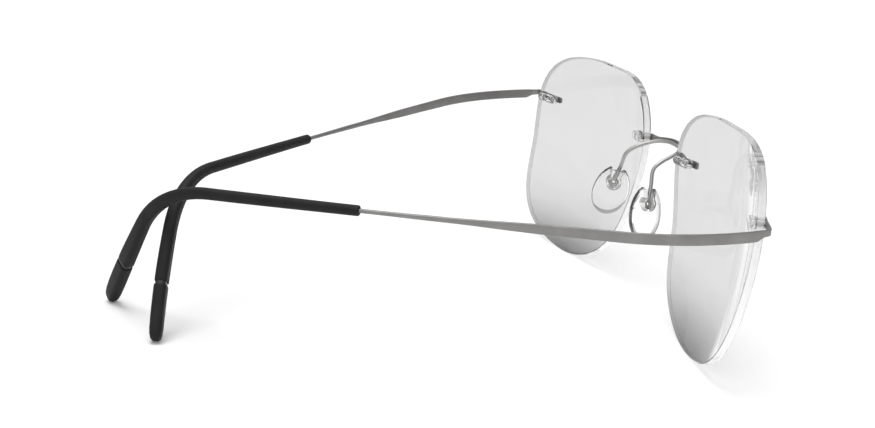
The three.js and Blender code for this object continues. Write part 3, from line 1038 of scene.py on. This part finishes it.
def make_nose_pad(side, side_name, material, painted_rim_material):
    """An oval cushion with flat faces and a full rim, cut out for its box."""
    rings = []
    steps, turns = 28, 72
    for step in range(steps + 1):
        angle = math.pi * ((step + 0.3) / (steps + 0.6) - 0.5)
        spread = math.cos(angle) ** 0.45
        depth = math.copysign(abs(math.sin(angle)) ** 0.8, angle) * PAD_THICKNESS / 2
        ring = []
        for turn in range(turns):
            around = turn / turns * math.tau
            across = math.cos(around) * PAD_WIDTH / 2
            along = math.sin(around) * PAD_LENGTH / 2
            narrow = 1 - PAD_NARROWING * math.sin(around)
            ring.append(PAD_FRAME @ Vector((depth, across * spread * narrow, along * spread)))
        rings.append(ring)
    points, faces = loft(rings)
    pad = build(f"{side_name}_silicone_pad", side, points, faces, material, 60.0)
    pad.data.materials.append(painted_rim_material)
    socket_floor = BOX_FLOOR - SOCKET_GAP
    socket = keyhole_block("socket", SOCKET_GAP, 6, socket_floor, BOX_TOP + 2, side, material)
    boolean(pad, [socket], "DIFFERENCE")
    out = PAD_FRAME.to_3x3() @ Vector((1, 0, 0))
    out.x *= side
    # The rim faces take the dark silicone, a painted dark outline
    for polygon in pad.data.polygons:
        polygon.material_index = 1 if abs(polygon.normal.dot(out)) < 0.5 else 0
    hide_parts(f"nose_pad_{side_name}")
    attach(pad, f"{side_name}_nose_pad")


# --- Sleeves and tips ---

SLEEVE_HEIGHTS = (
    (SLEEVE_START, 2.1),
    (104, 2.3),
    (124, 2.85),
    (SEAM_START, 3.6),
    (143, 3.75),
    (TEMPLE_LENGTH, 3.3),
)
SLEEVE_WIDTHS = ((SLEEVE_START, 2.1), (104, 2.2), (124, 2.6))


def sleeve_ring(spot, scale, inset=0.0):
    distance, place, along = spot
    width = (graded(SLEEVE_WIDTHS, distance) - inset) * scale
    height = (graded(SLEEVE_HEIGHTS, distance) - inset) * scale
    radius = graded(((SLEEVE_START, 0.5), (104, 0.46), (128, 0.36)), distance) * min(width, height)
    outline = rounded_outline(width, height, radius, 8)
    return place_outline(outline, place, along, UP)


def make_sleeve(side, side_name, material):
    spots = temple_spots(SLEEVE_START + 0.35, SEAM_START - 0.12, 130, side)
    mouth = temple_spots(SLEEVE_START, SLEEVE_START + 0.3, 4, side)
    last = (SEAM_START, *temple_spot(SEAM_START, side))
    rings = [sleeve_ring(mouth[0], 0.5)]
    rings += [sleeve_ring(spot, scale) for spot, scale in zip(mouth, (0.78, 0.9, 0.96, 0.99))]
    rings += [sleeve_ring(spot, 1) for spot in spots[1:-1]]
    rings += [sleeve_ring(spots[-1], 0.99), sleeve_ring(last, 0.95), sleeve_ring(last, 0.5)]
    points, faces = loft(rings)
    sleeve = build(f"{side_name}_sleeve", side, points, faces, material)
    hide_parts(f"temple_sleeve_{side_name}")
    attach(sleeve, f"{side_name}_temple")


def make_tip(side, side_name, rubber, gloss):
    ring_spots = temple_spots(SEAM_START - 0.3, SEAM_START + SEAM_WIDTH + 0.3, 6, side)
    points, faces = loft([sleeve_ring(spot, 1, SEAM_INSET) for spot in ring_spots])
    ring = build(f"{side_name}_tip_ring", side, points, faces, gloss)
    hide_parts(f"tip_ring_{side_name}")
    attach(ring, f"{side_name}_temple")
    start = SEAM_START + SEAM_WIDTH
    first = (start, *temple_spot(start, side))
    rings = [sleeve_ring(first, 0.5), sleeve_ring(first, 0.95)]
    shrink = (
        (TEMPLE_LENGTH - 2.4, 1.0),
        (TEMPLE_LENGTH - 1.2, 0.95),
        (TEMPLE_LENGTH - 0.4, 0.82),
        (TEMPLE_LENGTH, 0.55),
    )
    for spot in temple_spots(start + 0.15, TEMPLE_LENGTH, 60, side):
        rings.append(sleeve_ring(spot, graded(shrink, spot[0])))
    points, faces = loft(rings)
    cap = build(f"{side_name}_tip_cap", side, points, faces, rubber)
    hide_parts(f"tip_cap_{side_name}")
    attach(cap, f"{side_name}_temple")


# --- Assembly ---

aim_camera()
light_world()
area_light("key", **KEY_LIGHT)
area_light("fill", **FILL_LIGHT)
lay_floor()

titanium = titanium_material("titanium", 0.0)
# A lighter copy of the titanium for the pad wire: painted light for its brighter lit look
titanium_with_painted_light = titanium_material("titanium_with_painted_light", 0.145)
rubber = rubber_material()
gloss = gloss_material()
clear_plastic = clear_material("clear_plastic", (0.98, 1.0), 0.05, 1.49, (0.03, 0.08), 0.1)
silicone = clear_material("silicone", (0.97, 1.0), 0.95, 1.41, (0.02, 0.06), 0.12)
# A dark silicone for the pad's rim faces, a painted shade for the dark outline round the pad
silicone_painted_rim = clear_material("silicone_painted_rim", (0.1, 0.16), 0.95, 1.41, (0.02, 0.06), 0.12)
lens_materials = (
    coated_glass("lens_front", clear_tint),
    # The back faces carry the painted shadow that darkens the lens towards the bottom
    coated_glass("lens_back", tint_with_painted_shadow),
    # Both edge materials are painted darker at the top, and the rim's dark grey is a painted dark outline
    edge_with_painted_shade("lens_edge", 0.3, 0.98, 0.45),
    edge_with_painted_shade("lens_rim_painted_outline", 0.05, 0.12, 0.3),
)

for side, side_name in ((1, "left"), (-1, "right")):
    make_lens(side, side_name, lens_materials)
    make_bushing(side, side_name, "temple", TEMPLE_SEAT, clear_plastic)
    make_bushing(side, side_name, "bridge", BRIDGE_SEAT, clear_plastic)
    make_temple_strip(side, side_name, titanium)
    make_pad_box(side, side_name, clear_plastic)
    make_nose_pad(side, side_name, silicone, silicone_painted_rim)
    make_sleeve(side, side_name, rubber)
    make_tip(side, side_name, rubber, gloss)
make_bridge(titanium)
# The pad wire takes the titanium with painted light
make_pad_wire(titanium_with_painted_light)

bpy.context.scene.view_settings.view_transform = "Standard"
bounces = bpy.context.scene.cycles
bounces.max_bounces = 24
bounces.glossy_bounces = 16
bounces.transmission_bounces = 24
